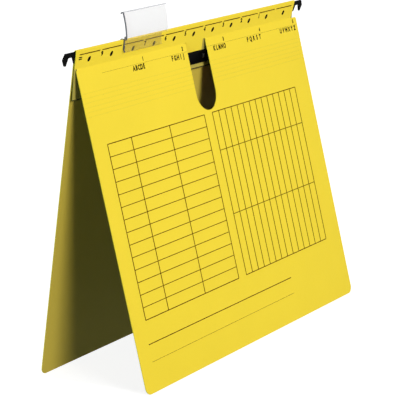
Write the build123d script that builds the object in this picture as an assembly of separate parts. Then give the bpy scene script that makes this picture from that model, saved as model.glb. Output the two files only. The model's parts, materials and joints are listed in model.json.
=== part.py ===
"""Hanging file folder with a filing fastener, standing open like a tent.

Lengths are in millimetres and angles in degrees. +Z is up, the hanging rail runs
along X and the front cover faces -Y. The origin is on the floor, under the middle
of the folder's box. Two slanted work planes meet at the waist fold: in the back
plane X runs along the rail, Y up the card and Z forward out of it, and in the
front plane Y runs up the front cover and Z out of its printed face.
"""
from build123d import *
from math import cos, radians, sin
import os

# Card sheet and covers
body_width = 318.0
cover_width = 321.6
cover_offset = 3.3
card = 0.5
front_length = 245.0
front_lean = 13.9
rear_lean = 8.5
cover_corner_radius = 6.0
cover_top_radius = 2.0
fold_gap = 0.6
overrun = 5.0

# Spine band with its tab slits and tongue
band_height = 14.3
band_taper = 3.0
slit_count = 11
slit_margin = 3.35
slit_gap = 2.4
slit_height = 0.9
slit_drop = 3.9
tongue_length = 9.0
tongue_clearance = 0.9
tongue_gap = 3.4

# Thumb slot and expansion scores of the front cover
slot_width = 29.0
slot_length = 56.0
score_count = 6
score_first = 18.7
score_pitch = 3.45
score_width = 0.8
score_depth = 0.2

# Hanging rail with a hook at each end
rail_length = 348.0
rail_thickness = 1.0
rail_height = 8.6
rail_clearance = 0.1
hook_gap = 4.9
hook_slant = 2.6
hook_bar_height = 3.6
nose_width = 6.6
nose_depth = 9.3
nose_tip_inset = 2.6
nose_tip_width = 1.8
nose_shoulder = 2.4
nose_shoulder_drop = 4.4
rail_corner_radius = 0.8

# Inner flap, fastener base, prongs, compressor bar and sliders
flap_drop = 23.4
flap_inset = 0.5
flap_top_gap = 0.4
fastener_drop = 14.4
prong_spacing = 80.0
prong_width = 3.2
prong_gauge = 0.35
prong_reach = 22.0
prong_hole_clearance = 0.4
base_length = 112.0
base_width = 8.0
bar_length = 118.0
bar_width = 10.0
bar_gauge = 0.35
bar_lip_width = 1.2
slide_clearance = 0.08
slider_length = 8.0
slider_thickness = 0.45
slider_rest = 16.0
slider_side_gap = 0.2
grip_height = 0.3
grip_width = 1.2

# Clear index tab and its label
tab_width = 58.5
tab_center = -70.2
tab_leg_inset = 7.5
tab_wall = 0.8
tab_clearance = 0.15
tab_front_leg = 8.0
tab_rear_leg = 5.5
tab_flare = 1.4
tab_flare_height = 2.4
tab_ledge_front = 1.8
tab_face_height = 19.5
tab_face_lean = 5.3
tab_face_bow = 0.9
tab_curl = 1.8
tab_lip_height = 2.0
label_thickness = 0.25
label_gap = 0.25
label_side_inset = 1.0

slit_pitch = (body_width - 2 * slit_margin) / slit_count

# Layers of the back plane, counted from the band's printed face toward the rear
pocket_depth = max(rail_thickness, prong_gauge + card)
pocket_front = -card
pocket_back = pocket_front - pocket_depth
rear_face = pocket_back - card
fold_radius = -rear_face / 2
fold_center = band_height - fold_radius
flap_back = pocket_back + prong_gauge
flap_front = flap_back + card
plate_front = flap_front + bar_gauge
finger_front = plate_front + prong_gauge
slider_back = finger_front + slide_clearance
slider_front = slider_back + slider_thickness
lip_back = slider_front + slide_clearance
lip_front = lip_back + bar_gauge

# Waist fold: the front cover's lower edge sets its height over the floor
front_sin = sin(radians(front_lean))
front_cos = cos(radians(front_lean))
rear_sin = sin(radians(rear_lean))
rear_cos = cos(radians(rear_lean))
waist_height = front_length * front_cos + card * front_sin
rear_length = (waist_height - pocket_back * rear_sin) / rear_cos
front_reach = front_length * front_sin
rear_reach = rear_length * rear_sin - rear_face * rear_cos
waist = Vector(0, (front_reach - rear_reach) / 2, waist_height)
back_plane = Plane(waist, x_dir=(1, 0, 0), z_dir=(0, -rear_cos, -rear_sin))
front_plane = Plane(waist, x_dir=(1, 0, 0), z_dir=(0, -front_cos, front_sin))


def slab(outline, back, front):
    """A sheet of the given outline between two depths of a work plane."""
    return Pos(0, 0, back) * extrude(outline, front - back)


def span(x_from, x_to, y_from, y_to):
    """A rectangle given by its edges."""
    middle = Pos((x_from + x_to) / 2, (y_from + y_to) / 2)
    return middle * Rectangle(x_to - x_from, y_to - y_from)


def along_rail(profile, length, center):
    """A profile of (depth, height) points run along the rail for a length."""
    section = Plane((center + length / 2, 0, 0), x_dir=(0, 0, 1), z_dir=(-1, 0, 0))
    return extrude(section * profile, length)


def rounded_sheet(length, corner):
    """A cover's outline, hanging from the waist, with rounded lower corners."""
    left = cover_offset - cover_width / 2
    outline = span(left, left + cover_width, -length, -fold_gap)
    lower = outline.vertices().group_by(Axis.Y)[0]
    outline = fillet(lower, corner)
    upper = outline.vertices().group_by(Axis.Y)[-1]
    return fillet(upper, cover_top_radius)


def make_front_cover():
    """Printed front cover with the thumb slot and the expansion scores."""
    outline = rounded_sheet(front_length, cover_corner_radius)
    end_radius = slot_width / 2
    end_drop = slot_length - end_radius
    slot = span(-end_radius, end_radius, -end_drop, overrun)
    slot += Pos(0, -end_drop) * Circle(end_radius)
    cover = slab(outline - Pos(cover_offset, 0) * slot, -card, 0)
    score = span(-body_width, body_width, -score_width / 2, score_width / 2)
    groove = slab(score, -score_depth, overrun)
    for index in range(score_count):
        cover -= Pos(0, -score_first - index * score_pitch, 0) * groove
    return front_plane * cover


def make_rear_cover():
    """Rear cover, from the top fold down to the floor."""
    half = body_width / 2
    outline = span(-half, half, -rear_length, fold_center)
    lower = outline.vertices().group_by(Axis.Y)[0]
    return back_plane * slab(fillet(lower, cover_corner_radius), rear_face, pocket_back)


def make_spine_band():
    """Band over the rail: front wall with tongue and slits, and the top fold."""
    half = body_width / 2
    corners = [(-half, 0), (half - band_taper, 0), (half, fold_center), (-half, fold_center)]
    wall = make_face(Polyline(*corners, close=True))
    slot_left = cover_offset - slot_width / 2
    tongue_left = slot_left + tongue_clearance
    tongue_right = slot_left + slot_width - tongue_gap
    wall += span(tongue_left, tongue_right, -tongue_length, 0)
    slit = Rectangle(slit_pitch - slit_gap, slit_height)
    slit_line = band_height - slit_drop
    for index in range(slit_count):
        place = (index - (slit_count - 1) / 2) * slit_pitch
        wall -= Pos(place, slit_line) * slit
    ring = Circle(fold_radius) - Circle(fold_radius - card)
    ring = Pos(-fold_radius, fold_center) * ring
    upper = span(rear_face, 0, fold_center, band_height)
    fold = along_rail(ring & upper, body_width, 0)
    return back_plane * (slab(wall, pocket_front, 0) + fold)


def hook_outline():
    """Half of the rail's outline: the strip and its hook at the right end."""
    tip = rail_length / 2
    top = fold_center - rail_clearance
    nose_inner = tip - nose_width
    strip_end = nose_inner - hook_gap
    ceiling = top - hook_bar_height
    shoulder = top - nose_shoulder_drop
    nose_low = top - nose_depth
    nose_end = tip - nose_tip_inset
    points = [
        (0, top),
        (tip - nose_shoulder, top),
        (tip, shoulder),
        (nose_end, nose_low),
        (nose_end - nose_tip_width, nose_low),
        (nose_inner, ceiling),
        (strip_end, ceiling),
        (strip_end - hook_slant, top - rail_height),
        (0, top - rail_height),
    ]
    outline = make_face(Polyline(*points, close=True))
    outer = outline.vertices().filter_by(lambda v: v.X > strip_end / 2)
    return fillet(outer, rail_corner_radius)


def make_hanging_rail():
    """Steel strip in the top fold with an inverted hook at each end."""
    half = hook_outline()
    outline = half + mirror(half, about=Plane.YZ)
    return back_plane * slab(outline, pocket_back, pocket_back + rail_thickness)


def prong_holes(back, front):
    """Openings around both prongs, for a layer that they pass through."""
    width = prong_gauge + 2 * prong_hole_clearance
    hole = Rectangle(width, prong_width + 2 * prong_hole_clearance)
    holes = Sketch()
    for side in (-1, 1):
        holes += Pos(side * (prong_spacing - prong_gauge) / 2, -fastener_drop) * hole
    return slab(holes, back - overrun, front + overrun)


def make_inner_flap():
    """Reinforcing flap over the fastener's base, pierced for the prongs."""
    half = body_width / 2 - flap_inset
    top = fold_center - rail_clearance - rail_height - flap_top_gap
    flap = slab(span(-half, half, -flap_drop, top), flap_back, flap_front)
    return back_plane * (flap - prong_holes(flap_back, flap_front))


def make_prong_strip():
    """Metal base with two prongs that come through and fold over the bar."""
    strip = slab(Rectangle(base_length, base_width), pocket_back, flap_back)
    outer = prong_spacing / 2
    for side in (-1, 1):
        riser = Rectangle(prong_gauge, prong_width)
        riser = Pos(side * (outer - prong_gauge / 2), 0) * riser
        finger = Rectangle(prong_reach, prong_width)
        finger = Pos(side * (outer - prong_reach / 2), 0) * finger
        strip += slab(riser, pocket_back, finger_front)
        strip += slab(finger, plate_front, finger_front)
    return back_plane * Pos(0, -fastener_drop, 0) * strip


def make_compressor_bar():
    """Channel bar on the papers' place, with rolled lips that guide the sliders."""
    half = bar_width / 2
    inner = half - bar_gauge
    lip = half - bar_lip_width
    profile = [
        (flap_front, -half),
        (flap_front, half),
        (lip_front, half),
        (lip_front, lip),
        (lip_back, lip),
        (lip_back, inner),
        (plate_front, inner),
        (plate_front, -inner),
        (lip_back, -inner),
        (lip_back, -lip),
        (lip_front, -lip),
        (lip_front, -half),
    ]
    bar = along_rail(make_face(Polyline(*profile, close=True)), bar_length, 0)
    bar = Pos(0, -fastener_drop, 0) * bar
    return back_plane * (bar - prong_holes(flap_front, lip_front))


def make_slider(side):
    """Locking slider over a folded prong, with a raised finger grip."""
    inner = bar_width / 2 - bar_gauge - slider_side_gap
    plate = slab(Rectangle(slider_length, 2 * inner), slider_back, slider_front)
    grip_half = bar_width / 2 - bar_lip_width - slider_side_gap
    grip = slab(Rectangle(grip_width, 2 * grip_half), slider_front, lip_front + grip_height)
    place = side * (prong_spacing / 2 - slider_rest)
    return back_plane * Pos(place, -fastener_drop, 0) * (plate + grip)


def tab_levels():
    """Main depths and heights of the tab's section."""
    ledge_low = band_height + tab_clearance
    ledge_high = ledge_low + tab_wall
    front = tab_clearance + tab_wall
    rear = rear_face - tab_clearance - tab_wall
    face_foot = front + tab_ledge_front
    return ledge_low, ledge_high, front, rear, face_foot


def face_band(inset, depth, low):
    """A bowed strip parallel to the tab's face, set behind it."""
    ledge_low, ledge_high, front, rear, face_foot = tab_levels()
    foot = Vector(face_foot - inset, low)
    head = Vector(face_foot - tab_face_lean - inset, ledge_low + tab_face_height)
    belly = (foot + head) / 2 + Vector(tab_face_bow, 0)
    back = Vector(-depth, 0)
    outer = ThreePointArc(foot, belly, head)
    inner = ThreePointArc(foot + back, belly + back, head + back)
    sides = [Line(foot, foot + back), Line(head, head + back)]
    return make_face([outer, inner, *sides]), head


def make_index_tab():
    """Clear saddle tab: two legs over the top fold and a label face above."""
    ledge_low, ledge_high, front, rear, face_foot = tab_levels()
    face, head = face_band(0, tab_wall, ledge_low)
    section = face
    section += span(rear, face_foot, ledge_low, ledge_high)
    section += span(rear, rear + tab_wall, ledge_low - tab_rear_leg, ledge_high)
    leg_low = ledge_high - tab_front_leg
    leg = span(tab_clearance, front, leg_low, ledge_high)
    flare = [
        (tab_clearance, leg_low),
        (front, leg_low),
        (front + tab_flare, leg_low - tab_flare_height),
        (tab_clearance + tab_flare, leg_low - tab_flare_height),
    ]
    leg += make_face(Polyline(*flare, close=True))
    pocket = tab_wall + label_thickness + 2 * label_gap
    lip_front_edge = face_foot - pocket
    section += span(lip_front_edge - tab_wall, lip_front_edge, ledge_low, ledge_high + tab_lip_height)
    curl_back = head.X - tab_wall - label_thickness - 2 * label_gap - tab_wall
    section += span(curl_back, head.X, head.Y, head.Y + tab_wall)
    section += span(curl_back, curl_back + tab_wall, head.Y - tab_curl, head.Y + tab_wall)
    leg_length = tab_width - tab_leg_inset
    tab = along_rail(section, tab_width, tab_center)
    tab += along_rail(leg, leg_length, tab_center - tab_leg_inset / 2)
    return back_plane * tab


def make_tab_label():
    """Blank label slipped in behind the tab's face."""
    ledge_low, ledge_high, front, rear, face_foot = tab_levels()
    strip, head = face_band(tab_wall + label_gap, label_thickness, ledge_high)
    strip &= span(rear - overrun, face_foot, ledge_high, head.Y - label_gap)
    label_width = tab_width - 2 * label_side_inset
    return back_plane * along_rail(strip, label_width, tab_center)


nodes = {
    "hanging_rail": make_hanging_rail(),
    "spine_band": make_spine_band(),
    "front_cover": make_front_cover(),
    "rear_cover": make_rear_cover(),
    "inner_flap": make_inner_flap(),
    "prong_strip": make_prong_strip(),
    "compressor_bar": make_compressor_bar(),
    "left_slider": make_slider(-1),
    "right_slider": make_slider(1),
    "index_tab": make_index_tab(),
    "tab_label": make_tab_label(),
}

os.makedirs("parts", exist_ok=True)
for name, shape in nodes.items():
    export_step(shape, f"parts/{name}.step")
    box = shape.bounding_box()
    print(name, [round(v, 2) for v in (*box.min, *box.max)], round(shape.volume, 1))
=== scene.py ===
"""Hanging file folder: looks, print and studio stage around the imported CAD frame.

Two work planes carry the pieces: the back plane of the spine band and rear cover, and the
plane of the front cover. Both start at the waist fold, with X along the rail, Y up the card
and Z out of its face. Shapes are drawn on them in millimetres.
"""
import json
import math
from types import SimpleNamespace

import bmesh
import bpy
from bpy.props import FloatProperty, FloatVectorProperty, IntProperty, PointerProperty
from mathutils import Matrix, Vector


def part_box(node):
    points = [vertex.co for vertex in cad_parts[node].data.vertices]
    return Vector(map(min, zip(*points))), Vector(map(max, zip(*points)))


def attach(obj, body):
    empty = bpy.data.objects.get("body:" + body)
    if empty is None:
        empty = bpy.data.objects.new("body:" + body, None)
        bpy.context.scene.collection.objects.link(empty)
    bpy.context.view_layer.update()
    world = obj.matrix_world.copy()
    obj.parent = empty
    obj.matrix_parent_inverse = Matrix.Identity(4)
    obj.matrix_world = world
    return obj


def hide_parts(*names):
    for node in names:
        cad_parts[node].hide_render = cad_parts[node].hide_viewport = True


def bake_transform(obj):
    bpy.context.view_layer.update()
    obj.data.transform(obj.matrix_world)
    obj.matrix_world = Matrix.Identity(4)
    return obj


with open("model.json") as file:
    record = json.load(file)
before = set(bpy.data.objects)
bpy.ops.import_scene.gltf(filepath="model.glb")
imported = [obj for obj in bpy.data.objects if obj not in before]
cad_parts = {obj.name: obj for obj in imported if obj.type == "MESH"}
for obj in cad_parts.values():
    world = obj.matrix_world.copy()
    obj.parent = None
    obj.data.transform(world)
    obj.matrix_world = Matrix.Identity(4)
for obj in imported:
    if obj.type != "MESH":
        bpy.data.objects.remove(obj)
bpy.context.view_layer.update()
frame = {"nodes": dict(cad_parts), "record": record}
MM = 0.001
SHARP_ANGLE = math.radians(35)
MERGE_DISTANCE = 1e-5
CARD_FIBRES = {"mottle": 0.10, "cloud": 0.07}
CARD_ROUGHNESS = 0.62

bl_info = {
    "name": "Hanging File Folder",
    "version": (1, 0, 0),
    "blender": (4, 5, 0),
    "location": "View3D > Sidebar > Folder",
    "description": "Card, print, fittings and studio stage for a hanging file folder",
    "category": "Object",
}


def joint_place(name):
    """Rest position of a joint of the frame."""
    for joint in frame["record"]["behaviour"]["joints"]:
        if joint["name"] == name:
            return Vector(joint["pos_m"])
    raise RuntimeError(f"the frame has no joint {name}")


def sheet_plane(node):
    """Work plane at the waist fold, square to a sheet's largest face and facing -Y."""
    face = max(frame["nodes"][node].data.polygons, key=lambda p: p.area)
    out = face.normal.copy()
    if out.y > 0:
        out.negate()
    along = Vector((1, 0, 0))
    plane = Matrix((along, out.cross(along), out)).transposed().to_4x4()
    plane.translation = joint_place("front_fold")
    return plane


def ends_along_rail(node):
    """Left and right end of a node along the rail, in millimetres."""
    low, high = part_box(node)
    return low.x / MM, high.x / MM


FRONT = sheet_plane("front_cover")
BACK = sheet_plane("rear_cover")
COVER_LEFT, COVER_RIGHT = ends_along_rail("front_cover")
BAND_LEFT, BAND_RIGHT = ends_along_rail("spine_band")
TAB_LEFT, TAB_RIGHT = ends_along_rail("index_tab")
COVER_MIDDLE = (COVER_LEFT + COVER_RIGHT) / 2
BAND_TOP = (BACK.inverted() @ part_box("spine_band")[1]).y / MM


def length(name, description, millimetres):
    """Length property with a default given in millimetres."""
    return FloatProperty(
        name=name, description=description, default=millimetres * MM, unit="LENGTH", precision=5)


def colour(name, description, red, green, blue):
    """Colour property."""
    return FloatVectorProperty(
        name=name, description=description, subtype="COLOR", size=4,
        default=(red, green, blue, 1.0))


def angle(name, description, degrees):
    """Angle property with a default given in degrees."""
    return FloatProperty(
        name=name, description=description, subtype="ANGLE", default=math.radians(degrees))


def level(name, description, value):
    """Plain factor, such as a lamp's strength or a share."""
    return FloatProperty(
        name=name, description=description, default=value, min=0.0, subtype="FACTOR")


class FolderFinish(bpy.types.PropertyGroup):
    """Colours of the folder's finishes."""

    card: colour("Card", "Printed outside of the card", 0.92, 0.685, 0.040)
    rear_inside: colour("Rear inside", "Duller inside of the rear cover", 0.56, 0.42, 0.052)
    # Painted shade: the inside of the front cover and band is darkened to deepen the shade under
    # the folder.
    front_inside_shade: colour(
        "Front inside", "Duller inside of the front cover and band", 0.31, 0.245, 0.042)
    flap: colour("Flap", "Paler card of the inner flap", 0.445, 0.36, 0.066)
    # Painted shadow: near-black colour on the flap's curled lower edge, standing for the flap's
    # shadow on the rear cover.
    flap_edge_shadow: colour("Flap edge", "Dark lower edge of the inner flap", 0.03, 0.024, 0.006)
    # Painted shade: darker card in the score grooves, standing for the shade in the creases; the
    # pressed card is also glossier.
    score_shade: colour("Scores", "Pressed card in the score lines", 0.865, 0.655, 0.036)
    # Painted shade: dark brown line standing for the shadowed opening of each slit.
    slit: colour("Slits", "Dark cut edges of the tab slits", 0.10, 0.03, 0.001)
    ink: colour("Ink", "Ink of letters, numbers and dots", 0.004, 0.003, 0.002)
    rule_ink: colour("Rule ink", "Browner ink of the ruled lines", 0.085, 0.026, 0.001)
    steel: colour("Black steel", "Painted rail, bar and sliders", 0.0015, 0.0015, 0.0015)
    bright: colour("Bright steel", "Bare prongs", 0.62, 0.62, 0.60)
    clear: colour("Clear plastic", "Walls of the index tab", 0.72, 0.69, 0.69)
    # Painted shade: grey on the top of the curl, where the bent plastic looks darker.
    bend: colour("Plastic bend", "Curled top of the index tab", 0.25, 0.26, 0.30)
    # Partly the plastic's tint, partly painted shade: the leg's darker film stands for the shade
    # over the band beneath it.
    leg: colour("Plastic leg", "Duller leg of the index tab over the band", 0.50, 0.38, 0.085)
    # Painted shade: dark grey-blue on the tab's cut ends, the front of its left end and the leg's
    # lower edge.
    edge: colour("Plastic edge", "Cut ends of the index tab", 0.045, 0.05, 0.07)
    label: colour("Label", "Blank label paper", 0.985, 0.965, 0.96)


class FolderPrint(bpy.types.PropertyGroup):
    """Sizes and places of the print on its own sheet."""

    rule: length("Rule", "Width of the table rules", 0.56)
    frame_rule: length("Frame rule", "Width of the outer rules", 0.68)
    upright_rule: length("Upright rule", "Width of the rules between columns", 0.92)
    hair_rule: length("Hairline", "Width of the pale foot line", 0.25)
    header_rule: length("Header rule", "Width of the faint header line", 0.13)
    film: length("Ink film", "Height of the ink over the card", 0.03)
    table_size: length("Table", "Side of the square tables", 133.25)
    table_top: length("Table top", "Top of the tables below the waist", 58.6)
    left_table: length("Left table", "Left side of the left table", -139.5)
    right_table: length("Right table", "Left side of the right table", 5.6)
    lines: IntProperty(name="Lines", description="Lines in each table", default=14)
    foot_left: length("Foot left", "Left end of the foot lines", -142.3)
    foot_right: length("Foot right", "Right end of the foot lines", 70.5)
    foot_line: length("Foot line", "Dark foot line below the waist", 209.8)
    foot_hairline: length("Foot hairline", "Pale foot line below the waist", 223.0)
    header_left: length("Header left", "Left end of the header line", -127.6)
    header_drop: length("Header", "Header line below the waist", 6.9)
    slot_width: length("Slot", "Width of the thumb slot", 29.0)
    number_height: length("Numbers", "Height of the header numbers", 2.9)
    number_drop: length("Number drop", "Middle of the header numbers below the waist", 4.1)
    letter_height: length("Letters", "Height of the letter groups", 3.7)
    letter_drop: length("Letter drop", "Middle of the letter groups below the waist", 9.8)
    ink_gain: length("Ink gain", "How far ink spreads past a letter's outline", 0.28)
    slit_count: IntProperty(name="Slits", description="Tab slits along the band", default=11)
    slit_pitch: length("Slit pitch", "Distance between slits", 28.3)
    slit_gap: length("Slit gap", "Card left between two slits", 2.4)
    slit_height: length("Slit height", "Opening of a slit", 0.9)
    # The rim is the width of the painted shade line over each slit.
    slit_rim: length("Slit rim", "Width of the dark cut edge over a slit", 0.4)
    score_count: IntProperty(name="Scores", description="Score lines below the waist", default=6)
    score_drop: length("Score drop", "First score line below the waist", 18.7)
    score_pitch: length("Score pitch", "Distance between score lines", 3.45)
    # The pressed line is a strip of painted shade in each score groove.
    score_width: length("Score width", "Width of the pressed line in a score", 0.6)
    score_depth: length("Score depth", "Depth of a score below the cover's face", 0.2)
    slit_drop: length("Slit drop", "Slit line below the top of the band", 3.9)
    band_digit_height: length("Band digits", "Height of the slit numbers", 3.2)
    dot_width: length("Dot width", "Width of the slanted dots", 3.5)
    dot_height: length("Dot height", "Height of the slanted dots", 3.9)


class FolderTab(bpy.types.PropertyGroup):
    """Section of the clear index tab."""

    wall: length("Wall", "Thickness of the plastic", 0.8)
    clearance: length("Clearance", "Room between the tab and the card", 0.15)
    stack: length("Stack", "Thickness of the folded card that the tab straddles", 2.0)
    leg_inset: length("Leg inset", "How far the front leg ends before the right end", 7.5)
    rear_leg: length("Rear leg", "Lower end of the rear leg above the waist", 8.95)
    ledge: length("Ledge", "How far the face stands before the front leg", 1.8)
    face_height: length("Face height", "Height of the label face", 19.25)
    face_lean: length("Face lean", "How far the face leans back at its head", 5.3)
    face_bow: length("Face bow", "How far the face bulges forward", 0.9)
    curl_radius: length("Curl", "Radius of the top curl", 1.0)
    corner_radius: length("Corner", "Bend radius of the saddle", 0.7)
    lip_height: length("Lip height", "Height of the label's stop", 2.4)
    label_thickness: length("Label thickness", "Thickness of the label paper", 0.25)
    label_gap: length("Label gap", "Room around the label in its pocket", 0.25)
    label_inset: length("Label inset", "How far the label ends before the tab's ends", 1.0)
    # The shaded end is painted shade on the front of the tab's left end.
    shaded_end: length("Dark end", "Width of the left end that its cut edge darkens", 0.9)


class FolderFlap(bpy.types.PropertyGroup):
    """Springing of the inner flap away from the rear cover."""

    spring: length("Spring", "How far the flap's lower edge stands off", 1.7)
    held_half: length("Held half", "Half the length that the fastener's bar holds flat", 61.0)
    held_drop: length("Held drop", "Lower edge of the bar below the waist", 19.6)
    free_run: length("Free run", "Length over which the flap gets free beside the bar", 40.0)
    # The curled lower edge also carries the painted shadow colour.
    curl: length("Curl", "Height of the flap's lower edge that curls back", 0.75)
    curl_depth: length("Curl depth", "How far the lower edge curls back", 0.3)
    spread: length("Spread", "How far the flap's lower corners reach out sideways", 0.6)


class FolderStage(bpy.types.PropertyGroup):
    """Camera and light of the studio."""

    lens: FloatProperty(name="Lens", description="Focal length", default=169.666, unit="CAMERA")
    eye: FloatVectorProperty(
        name="Eye", description="Camera place from the waist fold", subtype="TRANSLATION", size=3,
        default=(-1.24507, -0.79321, 0.22625))
    azimuth: angle("Azimuth", "View direction from +Y toward +X", 57.688)
    drop: angle("Drop", "View direction below level", 13.5369)
    roll: angle("Roll", "Turn about the view direction", -0.2653)
    ambient: level("Ambient", "Light from all around", 0.012)
    key: level("Key", "Strength of the front left lamp", 2.03)
    fill: FloatProperty(
        name="Fill", description="Power of the broad front lamp", default=1.85, min=0.0,
        unit="POWER")
    fill_size: length("Fill size", "Side of the broad front lamp", 450.0)
    fill_place: FloatVectorProperty(
        name="Fill place", description="Place of the broad front lamp", subtype="TRANSLATION",
        size=3, default=(-0.10, -0.66, 0.50))
    rear: level("Rear", "Strength of the lamp behind", 2.8)
    side: level("Side", "Strength of the cool lamp at the left", 1.5)
    side_tint: colour("Side tint", "Colour of the cool lamp at the left", 0.65, 1.0, 1.0)


class FolderSettings(bpy.types.PropertyGroup):
    """All settings of the folder."""

    finish: PointerProperty(type=FolderFinish)
    print_work: PointerProperty(type=FolderPrint)
    tab: PointerProperty(type=FolderTab)
    flap: PointerProperty(type=FolderFlap)
    stage: PointerProperty(type=FolderStage)


def settings():
    """The folder's settings in the current scene."""
    return bpy.context.scene.hanging_folder


def in_mm(group):
    """Values of a property group, with its lengths in millimetres."""
    values = {}
    for key in group.__annotations__:
        value = getattr(group, key)
        values[key] = value / MM if isinstance(value, float) else value
    return SimpleNamespace(**values)


# Shared shader groups

def new_group(name, inputs, outputs):
    """Empty shader group with float inputs and outputs."""
    group = bpy.data.node_groups.new(name, "ShaderNodeTree")
    for label, default in inputs:
        socket = group.interface.new_socket(
            name=label, in_out="INPUT", socket_type="NodeSocketFloat")
        socket.default_value = default
    for label in outputs:
        group.interface.new_socket(name=label, in_out="OUTPUT", socket_type="NodeSocketFloat")
    return group, group.nodes.new("NodeGroupInput"), group.nodes.new("NodeGroupOutput")


def math_node(tree, operation, first, second):
    """Math node; each operand is a number or a socket."""
    node = tree.nodes.new("ShaderNodeMath")
    node.operation = operation
    for index, operand in enumerate((first, second)):
        if isinstance(operand, (int, float)):
            node.inputs[index].default_value = operand
        else:
            tree.links.new(operand, node.inputs[index])
    return node.outputs[0]


def noise_node(tree, vector, scale, detail):
    """Noise texture on a coordinate."""
    node = tree.nodes.new("ShaderNodeTexNoise")
    node.inputs["Scale"].default_value = scale
    node.inputs["Detail"].default_value = detail
    tree.links.new(vector, node.inputs["Vector"])
    return node.outputs["Fac"]


def fibre_group():
    """Pressed card fibres: a shade near 1 and a height for bump."""
    name = "card_fibres"
    if name in bpy.data.node_groups:
        return bpy.data.node_groups[name]
    group, group_in, group_out = new_group(
        name, [("Mottle", 0.05), ("Cloud", 0.04)], ["Shade", "Height"])
    links = group.links
    place = group.nodes.new("ShaderNodeTexCoord").outputs["Object"]
    stretch = group.nodes.new("ShaderNodeMapping")
    stretch.inputs["Scale"].default_value = (0.35, 1.0, 1.0)
    links.new(place, stretch.inputs["Vector"])
    fine = noise_node(group, stretch.outputs["Vector"], 2600.0, 4.0)
    cloud = noise_node(group, place, 22.0, 3.0)
    grain = math_node(group, "SUBTRACT", fine, 0.5)
    fine_part = math_node(group, "MULTIPLY", grain, group_in.outputs["Mottle"])
    drift = math_node(group, "SUBTRACT", cloud, 0.5)
    cloud_part = math_node(group, "MULTIPLY", drift, group_in.outputs["Cloud"])
    shade = math_node(group, "ADD", math_node(group, "ADD", fine_part, cloud_part), 1.0)
    links.new(shade, group_out.inputs["Shade"])
    links.new(fine, group_out.inputs["Height"])
    return group


def rub_group():
    """Handling marks: a soft rough patch value and a fine pitted height."""
    name = "handling_rub"
    if name in bpy.data.node_groups:
        return bpy.data.node_groups[name]
    group, group_in, group_out = new_group(
        name, [("Low", 0.3), ("High", 0.5)], ["Roughness", "Height"])
    place = group.nodes.new("ShaderNodeTexCoord").outputs["Object"]
    patch = noise_node(group, place, 160.0, 4.0)
    pits = noise_node(group, place, 1900.0, 2.0)
    spread = math_node(group, "SUBTRACT", group_in.outputs["High"], group_in.outputs["Low"])
    lift = math_node(group, "MULTIPLY", patch, spread)
    rough = math_node(group, "ADD", lift, group_in.outputs["Low"])
    group.links.new(rough, group_out.inputs["Roughness"])
    group.links.new(pits, group_out.inputs["Height"])
    return group


def new_material(name):
    """Material with its Principled shader, ready for nodes."""
    material = bpy.data.materials.new(name)
    material.use_nodes = True
    return material, material.node_tree, material.node_tree.nodes["Principled BSDF"]


def place_group(tree, group, **values):
    """Group node in a material with its own values."""
    node = tree.nodes.new("ShaderNodeGroup")
    node.node_tree = group
    for key, value in values.items():
        node.inputs[key].default_value = value
    return node


def bump(tree, shader, height, strength, distance):
    """Bump from a height into the shader's normal."""
    node = tree.nodes.new("ShaderNodeBump")
    node.inputs["Strength"].default_value = strength
    node.inputs["Distance"].default_value = distance
    tree.links.new(height, node.inputs["Height"])
    tree.links.new(node.outputs["Normal"], shader.inputs["Normal"])


def shaded_colour(tree, shader, base, shade):
    """Base colour, a colour or a socket, times a shade that varies over the surface."""
    mix = tree.nodes.new("ShaderNodeVectorMath")
    mix.operation = "SCALE"
    if isinstance(base, bpy.types.NodeSocket):
        tree.links.new(base, mix.inputs[0])
    else:
        mix.inputs[0].default_value = base[:3]
    tree.links.new(shade, mix.inputs["Scale"])
    tree.links.new(mix.outputs["Vector"], shader.inputs["Base Color"])


def two_sided_colour(tree, outside, inside, inner_side):
    """Colour of a sheet and its cut edges, with the inside's on its +Y (1) or -Y (-1) side."""
    split, edge_shift = 0.5, 0.3
    facing = tree.nodes.new("ShaderNodeVectorMath")
    facing.operation = "DOT_PRODUCT"
    facing.inputs[1].default_value = (0, inner_side, 0)
    tree.links.new(tree.nodes.new("ShaderNodeTexCoord").outputs["Normal"], facing.inputs[0])
    ramp = tree.nodes.new("ShaderNodeValToRGB")
    ramp.color_ramp.interpolation = "CONSTANT"
    ramp.color_ramp.elements[0].color = outside
    ramp.color_ramp.elements[1].color = inside
    ramp.color_ramp.elements[1].position = split
    shifted = math_node(tree, "ADD", facing.outputs["Value"], edge_shift)
    tree.links.new(shifted, ramp.inputs["Fac"])
    return ramp.outputs["Color"]


def paper_material(name, colours, mottle, cloud, roughness):
    """Card or paper with fibres, faint clouding and a soft sheen."""
    rough_spread, sheen = 0.06, 0.22
    bump_strength, bump_depth = 0.22, 0.00006
    material, tree, shader = new_material(name)
    base = colours(tree) if callable(colours) else colours
    fibres = place_group(tree, fibre_group(), Mottle=mottle, Cloud=cloud)
    shaded_colour(tree, shader, base, fibres.outputs["Shade"])
    rub = place_group(
        tree, rub_group(), Low=roughness - rough_spread, High=roughness + rough_spread)
    tree.links.new(rub.outputs["Roughness"], shader.inputs["Roughness"])
    shader.inputs["Specular IOR Level"].default_value = sheen
    bump(tree, shader, fibres.outputs["Height"], bump_strength, bump_depth)
    return material


def card_material(name, inside, inner_side):
    """Dyed card with a duller colour on the inside, on one side of the sheet, than on its printed
    outside; on the front cover and band the darker inside is painted shade.
    """

    def colours(tree):
        return two_sided_colour(tree, settings().finish.card, inside, inner_side)

    return paper_material(name, colours, **CARD_FIBRES, roughness=CARD_ROUGHNESS)


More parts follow.
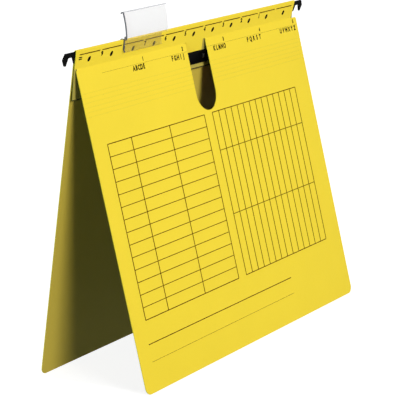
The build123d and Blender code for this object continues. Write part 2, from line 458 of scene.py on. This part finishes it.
def ink_material(name, base):
    """Printing ink, slightly uneven on the card."""
    ink_roughness, ink_sheen = 0.8, 0.02
    if name in bpy.data.materials:
        return bpy.data.materials[name]
    material, tree, shader = new_material(name)
    fibres = place_group(tree, fibre_group(), Mottle=0.5, Cloud=0.2)
    shaded_colour(tree, shader, base, fibres.outputs["Shade"])
    shader.inputs["Roughness"].default_value = ink_roughness
    shader.inputs["Specular IOR Level"].default_value = ink_sheen
    return material


def steel_material(name, base, metallic, specular, low, high):
    """Painted or bare steel with handling rub and a fine surface."""
    bump_strength, bump_depth = 0.12, 0.00004
    material, tree, shader = new_material(name)
    shader.inputs["Base Color"].default_value = base
    shader.inputs["Metallic"].default_value = metallic
    shader.inputs["Specular IOR Level"].default_value = specular
    rub = place_group(tree, rub_group(), Low=low, High=high)
    tree.links.new(rub.outputs["Roughness"], shader.inputs["Roughness"])
    bump(tree, shader, rub.outputs["Height"], bump_strength, bump_depth)
    return material


def plastic_material(name, base, alpha, low, high):
    """Clear moulded plastic, seen through by its alpha."""
    acrylic_ior, bump_strength, bump_depth = 1.49, 0.05, 0.00003
    material, tree, shader = new_material(name)
    shader.inputs["Base Color"].default_value = base
    shader.inputs["Alpha"].default_value = alpha
    shader.inputs["IOR"].default_value = acrylic_ior
    rub = place_group(tree, rub_group(), Low=low, High=high)
    tree.links.new(rub.outputs["Roughness"], shader.inputs["Roughness"])
    bump(tree, shader, rub.outputs["Height"], bump_strength, bump_depth)
    return material


def dress_node(node, material):
    """Give a CAD node that keeps showing its material."""
    slots = frame["nodes"][node].data.materials
    slots.clear()
    slots.append(material)


# Mesh helpers

def finish_object(name, mesh, material):
    """Link a mesh as an object with its material."""
    piece = bpy.data.objects.new(name, mesh)
    bpy.context.collection.objects.link(piece)
    mesh.materials.append(material)
    return piece


def mesh_from(name, build):
    """Clean mesh filled by a function that works on a bmesh."""
    shape = bmesh.new()
    build(shape)
    bmesh.ops.remove_doubles(shape, verts=shape.verts, dist=MERGE_DISTANCE)
    bmesh.ops.dissolve_degenerate(shape, edges=shape.edges, dist=MERGE_DISTANCE)
    bmesh.ops.recalc_face_normals(shape, faces=shape.faces)
    mesh = bpy.data.meshes.new(name)
    shape.to_mesh(mesh)
    shape.free()
    return mesh


def add_prism(shape, outline, low, high, plane):
    """Closed prism of an outline in millimetres on a work plane, between two heights."""
    rings = []
    for height in (low, high):
        rings.append([shape.verts.new(plane @ (Vector((x, y, height)) * MM)) for x, y in outline])
    bottom, top = rings
    shape.faces.new(bottom[::-1])
    shape.faces.new(top)
    for index in range(len(outline)):
        after = (index + 1) % len(outline)
        shape.faces.new((bottom[index], bottom[after], top[after], top[index]))


def add_run(shape, outline, stations, plane):
    """Closed run of a (depth, height) section along the rail, with a ring at each station."""
    rings = []
    for x in stations:
        rings.append([shape.verts.new(plane @ (Vector((x, y, z)) * MM)) for z, y in outline])
    for first, second in zip(rings, rings[1:]):
        for index in range(len(outline)):
            after = (index + 1) % len(outline)
            shape.faces.new((first[index], first[after], second[after], second[index]))
    shape.faces.new(rings[0])
    shape.faces.new(rings[-1][::-1])


def stroke_outline(points, width):
    """Outline of a pen stroke of constant width along a line of points."""
    left, right = [], []
    for index, point in enumerate(points):
        before = points[max(index - 1, 0)]
        after = points[min(index + 1, len(points) - 1)]
        run = (Vector(after) - Vector(before)).normalized()
        side = Vector((-run.y, run.x)) * width / 2
        left.append(tuple(Vector(point) + side))
        right.append(tuple(Vector(point) - side))
    return left + right[::-1]


def arc_points(center, radius, start_deg, end_deg, steps):
    """Points along an arc."""
    turn = math.radians(end_deg - start_deg)
    first = math.radians(start_deg)
    return [
        (center[0] + radius * math.cos(first + turn * i / steps),
         center[1] + radius * math.sin(first + turn * i / steps))
        for i in range(steps + 1)
    ]


def dressed_copy(node, body, name, material, edge):
    """Copy of a rigid CAD node with softened edges, in place of the node."""
    mesh = frame["nodes"][node].data.copy()
    mesh.name = name
    mesh.materials.clear()
    piece = finish_object(name, mesh, material)
    soften = piece.modifiers.new("soft_edges", "BEVEL")
    soften.width = edge * MM
    soften.segments = 2
    soften.limit_method = "ANGLE"
    soften.angle_limit = SHARP_ANGLE
    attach(piece, body)
    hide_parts(node)
    return piece


def add_text(shape, words, height, x, y, plane, work, stretch=0.78):
    """Add bold lettering, narrowed by a stretch and centred on a work plane, to a bmesh."""
    cap_share = 0.7
    curve = bpy.data.curves.new("lettering", "FONT")
    curve.body = words
    curve.size = height * MM / cap_share
    curve.align_x = "CENTER"
    curve.align_y = "CENTER"
    curve.offset = work.ink_gain * MM
    curve.extrude = work.film * MM
    curve.resolution_u = 4
    holder = bpy.data.objects.new("lettering", curve)
    bpy.context.collection.objects.link(holder)
    bpy.context.view_layer.update()
    graph = bpy.context.evaluated_depsgraph_get()
    flat = bpy.data.meshes.new_from_object(holder.evaluated_get(graph))
    place = Matrix.Translation((x * MM, y * MM, 0)) @ Matrix.Diagonal((stretch, 1, 1, 1))
    flat.transform(plane @ place)
    shape.from_mesh(flat)
    bpy.data.objects.remove(holder)
    bpy.data.curves.remove(curve)
    bpy.data.meshes.remove(flat)


class FOLDER_OT_card(bpy.types.Operator):
    """Give the covers and band their dyed card, spring the flap and crease the waist"""

    bl_idname = "hanging_folder.card"
    bl_label = "Card and Creases"

    def execute(self, context):
        finish = settings().finish
        # The front inside colour is painted shade.
        front_card = card_material("front_card", finish.front_inside_shade, 1)
        rear_card = card_material("rear_card", finish.rear_inside, -1)
        dress_node("front_cover", front_card)
        dress_node("spine_band", front_card)
        dress_node("rear_cover", rear_card)
        self.flap()
        slot_half = in_mm(settings().print_work).slot_width / 2
        end_inset, band_taper = 1.5, 3.0
        left_end = max(COVER_LEFT, BAND_LEFT) + end_inset
        right_end = min(COVER_RIGHT, BAND_RIGHT - band_taper) - end_inset / 3
        self.crease("waist_crease_left", left_end, COVER_MIDDLE - slot_half, front_card)
        self.crease("waist_crease_right", COVER_MIDDLE + slot_half, right_end, front_card)
        return {"FINISHED"}

    def flap(self):
        """Inner flap that springs off the rear cover below and beside the fastener's bar, with a
        painted shadow on its curled lower edge.
        """
        sizes = in_mm(settings().flap)
        finish = settings().finish
        inside = paper_material(
            "flap_card", finish.flap, **CARD_FIBRES, roughness=CARD_ROUGHNESS)
        # Painted shadow card for the flap's curled lower edge.
        edge = paper_material(
            "flap_edge_shadow_card", finish.flap_edge_shadow, **CARD_FIBRES, roughness=CARD_ROUGHNESS)
        rows, half_columns = 24, 20
        fall_power, lift_below, curl_power = 1.3, 1.2, 1.5
        shape = bmesh.new()
        shape.from_mesh(frame["nodes"]["inner_flap"].data)
        shape.transform(BACK.inverted())
        low = min(v.co.y for v in shape.verts) / MM
        high = max(v.co.y for v in shape.verts) / MM
        half = max(v.co.x for v in shape.verts) / MM
        heights = [low + step * (high - low) / rows for step in range(1, rows)]
        for height in heights + [low + sizes.curl, low + sizes.curl / 2]:
            self.cut(shape, (0, height, 0), (0, 1, 0))
        for step in range(1 - half_columns, half_columns):
            self.cut(shape, (step * half / half_columns, 0, 0), (1, 0, 0))
        for vert in shape.verts:
            x, y = abs(vert.co.x) / MM, vert.co.y / MM
            below = min(max((-sizes.held_drop - y) / (-sizes.held_drop - low), 0), 1)
            beside = min(max((x - sizes.held_half) / sizes.free_run, 0), 1)
            beside = beside * beside * (3 - 2 * beside)
            fall = ((high - y) / (high - low)) ** fall_power
            turned = max(low + sizes.curl - y, 0) / sizes.curl
            vert.co.z += sizes.spring * MM * max(below * below * lift_below, beside * fall)
            vert.co.z -= sizes.curl_depth * MM * turned ** curl_power
            vert.co.x *= 1 + sizes.spread * fall / half
        # Faces of the curled lower edge take the painted shadow.
        for face in shape.faces:
            in_shadow_curl = face.calc_center_median().y / MM < low + sizes.curl
            face.material_index = 1 if in_shadow_curl else 0
        shape.transform(BACK)
        mesh = bpy.data.meshes.new("flap_sprung")
        shape.to_mesh(mesh)
        shape.free()
        piece = finish_object("flap_sprung", mesh, inside)
        mesh.materials.append(edge)
        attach(piece, "back")
        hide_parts("inner_flap")

    def cut(self, shape, place, square_to):
        """Cut a ring of edges through a sheet, so that it can bend there."""
        parts = shape.verts[:] + shape.edges[:] + shape.faces[:]
        bmesh.ops.bisect_plane(shape, geom=parts, plane_co=Vector(place) * MM, plane_no=square_to)

    def crease(self, name, x_from, x_to, card):
        """Curved strip of card that joins the band to the front cover at the waist."""
        thickness, middle, count = 0.46, -0.25, 60
        band_end, cover_end = 0.05, -0.65
        to_back = BACK.inverted().to_3x3() @ FRONT.to_3x3()

        def on_cover(drop):
            place = to_back @ Vector((0, -drop, middle))
            return (place.z, place.y)

        line = [(middle, rise) for rise in (0.9, 0.3, band_end)]
        line += [on_cover(drop) for drop in (0.35, 0.7, 1.5)]
        stations = [x_from + (x_to - x_from) * index / count for index in range(count + 1)]

        def build(shape):
            add_run(shape, stroke_outline(line, thickness), stations, BACK)

        piece = finish_object(name, mesh_from(name, build), card)
        piece.data.shade_smooth()
        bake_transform(piece)


class FOLDER_OT_cover_print(bpy.types.Operator):
    """Print the tables, the header and the foot lines on the front cover"""

    bl_idname = "hanging_folder.cover_print"
    bl_label = "Cover Print"

    def execute(self, context):
        work = in_mm(settings().print_work)
        finish = settings().finish
        black = ink_material("printing_ink", finish.ink)
        brown = ink_material("rule_ink", finish.rule_ink)
        # Painted shade in the score grooves, on glossier pressed card.
        pressed = paper_material("score_shade_card", finish.score_shade, **CARD_FIBRES, roughness=0.5)

        def rules(shape):
            for start, end, width in self.table_rules(work) + self.loose_rules(work):
                outline = stroke_outline([(start[0], -start[1]), (end[0], -end[1])], width)
                add_prism(shape, outline, -work.film, work.film, FRONT)

        def letters(shape):
            # Middle of the number, middle and width of the letter group, and its letters
            columns = (
                (-72.6, -79.8, 16.6, "ABCDE"),
                (-17.4, -25.6, 20.0, "FGHIJ"),
                (43.8, 35.9, 19.7, "KLMNO"),
                (101.5, 90.1, 25.0, "PQRST"),
                (157.7, 146.7, 28.5, "UVWXYZ"),
            )
            for index, (number_x, group_x, width, group) in enumerate(columns):
                number_y = -work.number_drop
                add_text(
                    shape, str(index + 1), work.number_height, number_x, number_y, FRONT, work)
                step = width / len(group)
                for place, letter in enumerate(group):
                    x = group_x + (place - (len(group) - 1) / 2) * step
                    add_text(shape, letter, work.letter_height, x, -work.letter_drop, FRONT, work)

        # Strips of painted shade at the bottom of each score groove.
        def scores(shape):
            bottom, slot_half, inset = -work.score_depth, work.slot_width / 2, 0.1
            sides = (
                (COVER_LEFT + inset, COVER_MIDDLE - slot_half - inset),
                (COVER_MIDDLE + slot_half + inset, COVER_RIGHT - inset),
            )
            for index in range(work.score_count):
                y = -work.score_drop - index * work.score_pitch
                for start, end in sides:
                    line = stroke_outline([(start, y), (end, y)], work.score_width)
                    add_prism(shape, line, bottom - work.film, bottom + work.film, FRONT)

        for name, build, finish_of in (
            ("cover_rules", rules, brown),
            ("cover_header", letters, black),
            ("cover_score_shade", scores, pressed),
        ):
            piece = finish_object(name, mesh_from(name, build), finish_of)
            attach(piece, "front")
        return {"FINISHED"}

    def table_rules(self, work):
        """Rules of both tables: the right one is the left one turned on its side."""
        side, top = work.table_size, work.table_top
        heading_share, middle_share = 0.232, 0.622
        rules = []
        for left, upright in ((work.left_table, True), (work.right_table, False)):
            places = [
                (index / work.lines, index in (0, work.lines)) for index in range(work.lines + 1)]
            long_places = [(0, True), (heading_share, False), (middle_share, False), (1, True)]
            across, along = (places, long_places) if upright else (long_places, places)
            for share, outer in across:
                y = top + side * share
                rules.append(((left, y), (left + side, y), work.frame_rule if outer else work.rule))
            for share, _ in along:
                x = left + side * share
                rules.append(((x, top), (x, top + side), work.upright_rule))
        return rules

    def loose_rules(self, work):
        """Header line on both sides of the thumb slot and the two lines at the foot."""
        slot_half, gap = work.slot_width / 2, 0.7
        header = work.header_drop
        slot_left, slot_right = COVER_MIDDLE - slot_half - gap, COVER_MIDDLE + slot_half + gap
        foot, hairline = work.foot_line, work.foot_hairline
        return [
            ((work.header_left, header), (slot_left, header), work.header_rule),
            ((slot_right, header), (COVER_RIGHT - 2 * gap, header), work.header_rule),
            ((work.foot_left, foot), (work.foot_right, foot), work.frame_rule),
            ((work.foot_left, hairline), (work.foot_right, hairline), work.hair_rule),
        ]


class FOLDER_OT_band_print(bpy.types.Operator):
    """Print the slit numbers, the slanted dots and the end mark, and paint shade along the slits"""

    bl_idname = "hanging_folder.band_print"
    bl_label = "Band Print"

    def execute(self, context):
        work = in_mm(settings().print_work)
        finish = settings().finish
        ink = ink_material("printing_ink", finish.ink)
        # Dark ink for the painted shade of the slit openings.
        cut = ink_material("slit_shade_ink", finish.slit)
        slit_line = BAND_TOP - work.slit_drop

        def numbers(shape):
            number_y, number_shift, digit_stretch = slit_line - 2.4, 1.3, 1.05
            for index in range(1, work.slit_count - 1):
                x = (index - work.slit_count / 2) * work.slit_pitch + number_shift
                words = str(work.slit_count - 1 - index)
                add_text(
                    shape, words, work.band_digit_height, x, number_y, BACK, work, digit_stretch)
            mark_left, mark_right, mark_width = BAND_LEFT + 3.8, BAND_LEFT + 7.8, 0.85
            for y in (slit_line - 1.6, slit_line - 3.0):
                bar = stroke_outline([(mark_left, y), (mark_right, y)], mark_width)
                add_prism(shape, bar, -work.film, work.film, BACK)

        def dots(shape):
            lean, dot_y, dot_shift = 0.45, slit_line - 4.15, -0.5
            corners, last_turn = 23, 345
            for index in range(work.slit_count):
                x = (index - (work.slit_count - 1) / 2) * work.slit_pitch + dot_shift
                oval = []
                for px, py in arc_points((0, 0), 0.5, 0, last_turn, corners):
                    rise = py * work.dot_height
                    oval.append((x + px * work.dot_width + rise * lean, dot_y + rise))
                add_prism(shape, oval, -work.film, work.film, BACK)

        def rims(shape):
            """Painted shade: dark line along the upper side of each slit, standing for its shadowed
            opening.
            """
            y = slit_line + (work.slit_height + work.slit_rim) / 2
            half = (work.slit_pitch - work.slit_gap) / 2
            for index in range(work.slit_count):
                middle = (index - (work.slit_count - 1) / 2) * work.slit_pitch
                line = stroke_outline([(middle - half, y), (middle + half, y)], work.slit_rim)
                add_prism(shape, line, -work.film, work.film, BACK)

        for name, build, finish_of in (
            ("slit_numbers", numbers, ink),
            ("slit_dots", dots, ink),
            ("slit_painted_shade", rims, cut),
        ):
            piece = finish_object(name, mesh_from(name, build), finish_of)
            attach(piece, "back")
        return {"FINISHED"}


class FOLDER_OT_fittings(bpy.types.Operator):
    """Dress the hanging rail and the prong fastener in steel"""

    bl_idname = "hanging_folder.fittings"
    bl_label = "Rail and Fastener"

    def execute(self, context):
        finish = settings().finish
        black = steel_material(
            "black_paint", finish.steel, metallic=0.0, specular=0.015, low=0.42, high=0.6)
        bright = steel_material(
            "bright_steel", finish.bright, metallic=1.0, specular=0.5, low=0.24, high=0.4)
        dressed_copy("hanging_rail", "back", "rail_painted", black, 0.18)
        dressed_copy("compressor_bar", "back", "bar_painted", black, 0.1)
        dressed_copy("prong_strip", "back", "prongs_bare", bright, 0.06)
        dressed_copy("left_slider", "left_lock", "slider_left_painted", black, 0.08)
        dressed_copy("right_slider", "right_lock", "slider_right_painted", black, 0.08)
        return {"FINISHED"}


class FOLDER_OT_index_tab(bpy.types.Operator):
    """Make the clear index tab with its curled top, and finish the label"""

    bl_idname = "hanging_folder.index_tab"
    bl_label = "Index Tab"

    def execute(self, context):
        finish = settings().finish
        sizes = in_mm(settings().tab)
        parts = []
        for index, (points, right_end) in enumerate(self.section_strokes(sizes)):
            parts.append(self.stroke_piece(f"tab_stroke_{index}", points, right_end, sizes))
        tab = parts[0]
        tab.name = "index_tab_clear"
        for other in parts[1:]:
            join = tab.modifiers.new("join", "BOOLEAN")
            join.operation = "UNION"
            join.solver = "EXACT"
            join.object = other
        bpy.context.view_layer.update()
        graph = context.evaluated_depsgraph_get()
        union = bpy.data.meshes.new_from_object(tab.evaluated_get(graph))
        joined = mesh_from("index_tab_clear", lambda shape: shape.from_mesh(union))
        bpy.data.meshes.remove(union)
        tab.modifiers.clear()
        tab.data = joined
        for other in parts[1:]:
            bpy.data.objects.remove(other)
        for name, base, alpha, low, high in (
            ("clear_plastic", finish.clear, 0.055, 0.08, 0.18),
            # Painted shade on the curl's top.
            ("plastic_bend_shade", finish.bend, 0.55, 0.15, 0.3),
            # Painted shade on the cut ends and the leg's lower edge.
            ("plastic_edge_shade", finish.edge, 0.85, 0.3, 0.45),
            # Tinted leg with painted shade over the band.
            ("plastic_leg_shade", finish.leg, 0.18, 0.2, 0.35),
        ):
            joined.materials.append(plastic_material(name, base, alpha, low, high))
        self.choose_materials(joined, sizes)
        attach(tab, "tab")
        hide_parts("index_tab")
        self.label(sizes)
        return {"FINISHED"}

    def label(self, sizes):
        """Blank label, bowed as the face that it stands behind."""
        behind = (sizes.wall + sizes.label_thickness) / 2 + sizes.label_gap
        line = [(depth - behind, height) for depth, height in self.face_line(sizes, 1)]
        line.append((line[-1][0] - sizes.label_gap / 3, line[-1][1] + sizes.label_gap))
        stations = (TAB_LEFT + sizes.label_inset, TAB_RIGHT - sizes.label_inset)

        def build(shape):
            add_run(shape, stroke_outline(line, sizes.label_thickness), stations, BACK)

        paper = paper_material(
            "label_paper", settings().finish.label, mottle=0.05, cloud=0.03, roughness=0.6)
        piece = finish_object("label_blank", mesh_from("label_blank", build), paper)
        piece.data.shade_smooth()
        piece.data.set_sharp_from_angle(angle=SHARP_ANGLE)
        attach(piece, "label")
        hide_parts("tab_label")

    def choose_materials(self, mesh, sizes):
        """Clear walls, with painted shade: a greyer top of the curl, a dark cut left end and leg
        edge, and a duller leg.
        """
        wall, bend, edge_shade, leg = range(4)
        end_facing, level_facing = -0.9, 0.6
        to_back = BACK.inverted()
        up = BACK.to_3x3() @ Vector((0, 1, 0))
        head = BAND_TOP + sizes.clearance + sizes.face_height
        for face in mesh.polygons:
            place = (to_back @ face.center) / MM
            rise = face.normal.dot(up)
            face.material_index = wall
            # Painted shade on the left cut end and on the leg's lower edge.
            if face.normal.x < end_facing or place.x < TAB_LEFT + sizes.shaded_end:
                face.material_index = edge_shade
            # Faces on top of the curl take painted shade.
            elif place.y > head and rise > level_facing:
                face.material_index = bend
            # Leg faces take the tinted film with painted shade.
            elif place.y < BAND_TOP - sizes.wall and place.z > 0:
                face.material_index = edge_shade if rise < -level_facing else leg

    def face_line(self, sizes, first):
        """Bowed line of the label face, from one of its steps up to the head."""
        foot = sizes.clearance + sizes.wall / 2 + sizes.ledge
        low = BAND_TOP + sizes.clearance
        steps = 14
        line = []
        for index in range(first, steps + 1):
            share = index / steps
            bow = sizes.face_bow * 4 * share * (1 - share)
            line.append((foot - sizes.face_lean * share + bow, low + sizes.face_height * share))
        return line

    def section_strokes(self, sizes):
        """Pen strokes of the tab's section, as (depth, height) points from the waist."""
        half = sizes.wall / 2
        radius = sizes.corner_radius
        low = BAND_TOP + sizes.clearance
        ledge = low + half
        front = sizes.clearance + half
        rear = -sizes.stack - sizes.clearance - half
        foot = front + sizes.ledge
        rear_bend = arc_points((rear + radius, ledge - radius), radius, 180, 90, 5)
        foot_bend = arc_points((foot - radius, ledge + radius), radius, 270, 345, 5)
        body = [(rear, sizes.rear_leg)] + rear_bend + foot_bend + self.face_line(sizes, 2)
        head = body.pop()
        curl = sizes.curl_radius
        body += arc_points((head[0] - curl, head[1]), curl, 0, 200, 10)
        leg = [(front, ledge)]
        leg += [(front + flare, height) for flare, height in ((0, 7.4), (0.15, 6.9), (1.4, 4.85))]
        lip_shift = 0.25
        stop = front + lip_shift
        lip = [(stop, ledge), (stop, ledge + sizes.lip_height)]
        return [(body, TAB_RIGHT), (leg, TAB_RIGHT - sizes.leg_inset), (lip, TAB_RIGHT)]

    def stroke_piece(self, name, points, right_end, sizes):
        """One stroke of the section, run along the rail over the tab's width."""

        def build(shape):
            stations = (TAB_LEFT, TAB_LEFT + sizes.shaded_end, right_end)
            add_run(shape, stroke_outline(points, sizes.wall), stations, BACK)

        piece = bpy.data.objects.new(name, mesh_from(name, build))
        bpy.context.collection.objects.link(piece)
        return piece


class FOLDER_OT_stage(bpy.types.Operator):
    """Set the pale floor, the studio lights, the world and the camera"""

    bl_idname = "hanging_folder.stage"
    bl_label = "Studio Stage"

    def execute(self, context):
        self.floor()
        self.world(context)
        self.lights()
        self.camera(context)
        context.scene.view_settings.view_transform = "Standard"
        return {"FINISHED"}

    def seen_directly(self, tree):
        """1 for what the camera sees, also in gloss and through glass, and 0 for other light."""
        path = tree.nodes.new("ShaderNodeLightPath")
        seen = math_node(tree, "ADD", path.outputs["Is Camera Ray"], path.outputs["Is Glossy Ray"])
        seen = math_node(tree, "ADD", seen, path.outputs["Is Transmission Ray"])
        return math_node(tree, "MINIMUM", seen, 1.0)

    def floor(self):
        """Broad pale floor that looks white and keeps a soft shadow."""
        half, drop = 8.0, -0.0003
        glow_level, shadow_share, bounce_share = 0.89, 0.32, 0.03

        def build(shape):
            corners = [(-half, -half), (half, -half), (half, half), (-half, half)]
            shape.faces.new([shape.verts.new((x, y, drop)) for x, y in corners])

        material, tree, shader = new_material("pale_floor")
        tree.nodes.remove(shader)
        glow = tree.nodes.new("ShaderNodeEmission")
        glow.inputs["Strength"].default_value = glow_level
        shaded = tree.nodes.new("ShaderNodeBsdfDiffuse")
        shaded.inputs["Color"].default_value = (shadow_share, shadow_share, shadow_share, 1.0)
        bounce = tree.nodes.new("ShaderNodeBsdfDiffuse")
        bounce.inputs["Color"].default_value = (bounce_share, bounce_share, bounce_share, 1.0)
        both = tree.nodes.new("ShaderNodeAddShader")
        mix = tree.nodes.new("ShaderNodeMixShader")
        tree.links.new(glow.outputs[0], both.inputs[0])
        tree.links.new(shaded.outputs[0], both.inputs[1])
        tree.links.new(self.seen_directly(tree), mix.inputs["Fac"])
        tree.links.new(bounce.outputs[0], mix.inputs[1])
        tree.links.new(both.outputs[0], mix.inputs[2])
        tree.links.new(mix.outputs[0], tree.nodes["Material Output"].inputs["Surface"])
        finish_object("studio_floor", mesh_from("studio_floor", build), material)

    def world(self, context):
        """White to the eye, dim as a light."""
        world = bpy.data.worlds.new("studio_world")
        world.use_nodes = True
        context.scene.world = world
        tree = world.node_tree
        dim = tree.nodes["Background"]
        dim.inputs["Color"].default_value = (1, 1, 1, 1)
        dim.inputs["Strength"].default_value = settings().stage.ambient
        white = tree.nodes.new("ShaderNodeBackground")
        white.inputs["Color"].default_value = (1, 1, 1, 1)
        mix = tree.nodes.new("ShaderNodeMixShader")
        tree.links.new(self.seen_directly(tree), mix.inputs["Fac"])
        tree.links.new(dim.outputs[0], mix.inputs[1])
        tree.links.new(white.outputs[0], mix.inputs[2])
        tree.links.new(mix.outputs[0], tree.nodes["World Output"].inputs["Surface"])

    def lights(self):
        """Soft far lamps at the front left, behind and at the left, and a broad near fill."""
        stage = settings().stage
        broad = bpy.data.lights.new("fill_light", "AREA")
        broad.energy = stage.fill
        broad.size = stage.fill_size
        fill = bpy.data.objects.new("fill_light", broad)
        bpy.context.collection.objects.link(fill)
        fill.location = stage.fill_place
        low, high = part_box("front_cover")
        from_cover = Vector(stage.fill_place) - (Vector(low) + Vector(high)) / 2
        fill.rotation_euler = from_cover.to_track_quat("Z", "Y").to_euler()
        fill.visible_camera = False
        white, distance = (1.0, 1.0, 1.0), 3.0
        # Degrees from -Y toward +X, above level and across the lamp's disc
        for name, azimuth, height, softness, strength, tint in (
            ("key_light", -16.5, 18.0, 21.0, stage.key, white),
            ("rear_light", 180.0, 38.0, 14.0, stage.rear, white),
            ("side_light", -81.0, 4.0, 12.0, stage.side, stage.side_tint[:3]),
        ):
            data = bpy.data.lights.new(name, "SUN")
            data.energy = strength
            data.color = tint
            data.angle = math.radians(softness)
            lamp = bpy.data.objects.new(name, data)
            bpy.context.collection.objects.link(lamp)
            turn, rise = math.radians(azimuth), math.radians(height)
            toward = Vector((
                math.sin(turn) * math.cos(rise), -math.cos(turn) * math.cos(rise), math.sin(rise)))
            lamp.location = toward * distance
            lamp.rotation_euler = toward.to_track_quat("Z", "Y").to_euler()

    def camera(self, context):
        """Long-lens camera at the photograph's viewing angle."""
        stage = settings().stage
        az, drop, roll = stage.azimuth, stage.drop, stage.roll
        level_share = math.cos(drop)
        ahead = Vector((math.sin(az) * level_share, math.cos(az) * level_share, -math.sin(drop)))
        right = Vector((math.cos(az), -math.sin(az), 0))
        up = right.cross(ahead)
        turned = right * math.cos(roll) + up * math.sin(roll)
        upright = up * math.cos(roll) - right * math.sin(roll)
        data = bpy.data.cameras.new("studio_camera")
        data.lens = stage.lens
        data.sensor_width = 36.0
        data.clip_start = 0.05
        data.clip_end = 50.0
        camera = bpy.data.objects.new("studio_camera", data)
        context.collection.objects.link(camera)
        pose = Matrix((turned, upright, -ahead)).transposed().to_4x4()
        pose.translation = joint_place("front_fold") + Vector(stage.eye)
        camera.matrix_world = pose
        context.scene.camera = camera


class FOLDER_PT_panel(bpy.types.Panel):
    """Lists the steps that dress the folder"""

    bl_idname = "FOLDER_PT_panel"
    bl_label = "Hanging File Folder"
    bl_space_type = "VIEW_3D"
    bl_region_type = "UI"
    bl_category = "Folder"

    def draw(self, context):
        for operator in OPERATORS:
            self.layout.operator(operator.bl_idname)
        every = settings()
        for group in (every.finish, every.print_work, every.tab, every.flap, every.stage):
            box = self.layout.box()
            for key in group.__annotations__:
                box.prop(group, key)


GROUPS = (FolderFinish, FolderPrint, FolderTab, FolderFlap, FolderStage, FolderSettings)
OPERATORS = (
    FOLDER_OT_card,
    FOLDER_OT_cover_print,
    FOLDER_OT_band_print,
    FOLDER_OT_fittings,
    FOLDER_OT_index_tab,
    FOLDER_OT_stage,
)


def register():
    """Register the classes and the folder's settings."""
    for cls in (*GROUPS, *OPERATORS, FOLDER_PT_panel):
        bpy.utils.register_class(cls)
    bpy.types.Scene.hanging_folder = PointerProperty(type=FolderSettings)


def unregister():
    """Take the settings and the classes away again."""
    del bpy.types.Scene.hanging_folder
    for cls in reversed((*GROUPS, *OPERATORS, FOLDER_PT_panel)):
        bpy.utils.unregister_class(cls)


def main():
    """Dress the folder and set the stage."""
    register()
    bpy.ops.hanging_folder.card()
    bpy.ops.hanging_folder.cover_print()
    bpy.ops.hanging_folder.band_print()
    bpy.ops.hanging_folder.fittings()
    bpy.ops.hanging_folder.index_tab()
    bpy.ops.hanging_folder.stage()


if __name__ == "__main__":
    main()
